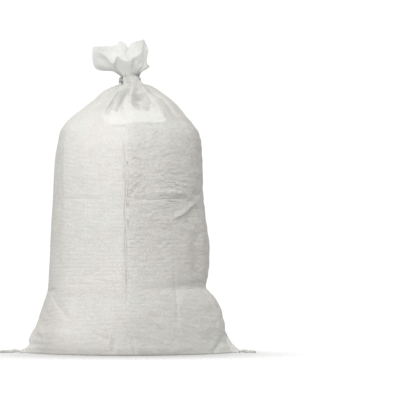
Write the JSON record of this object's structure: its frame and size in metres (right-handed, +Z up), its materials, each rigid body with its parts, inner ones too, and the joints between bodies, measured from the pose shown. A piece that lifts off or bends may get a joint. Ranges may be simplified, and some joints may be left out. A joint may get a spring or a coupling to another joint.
{
  "type": "filled woven sack",
  "caption": "Woven polypropylene sack full of cement, standing on its hemmed end and tied at the neck, with a ruffled mouth and loose hem threads.",
  "frame": {"origin": "middle of the sack's footprint on the floor, halfway between the tips of its two hem corners", "axes": "+Z up from the floor to the tied neck, X along the hem from corner to corner, +Y from the front to the back"},
  "size_m": [0.5534, 0.301, 0.6852],
  "materials": {
    "woven_fabric": "white woven polypropylene tape, plain weave, unprinted, with a soft sheen",
    "cement_powder": "dry grey powder, hidden inside the sack",
    "twine": "grey twisted twine, rough and fibrous",
    "hem_thread": "white sewing thread, loose and frayed at the ends"
  },
  "bodies": {
    "root": {"sack": "woven_fabric", "cement": "cement_powder", "neck_tie": "twine", "hem_thread_tail_left": "hem_thread", "hem_thread_tail_right": "hem_thread"}
  },
  "joints": []
}
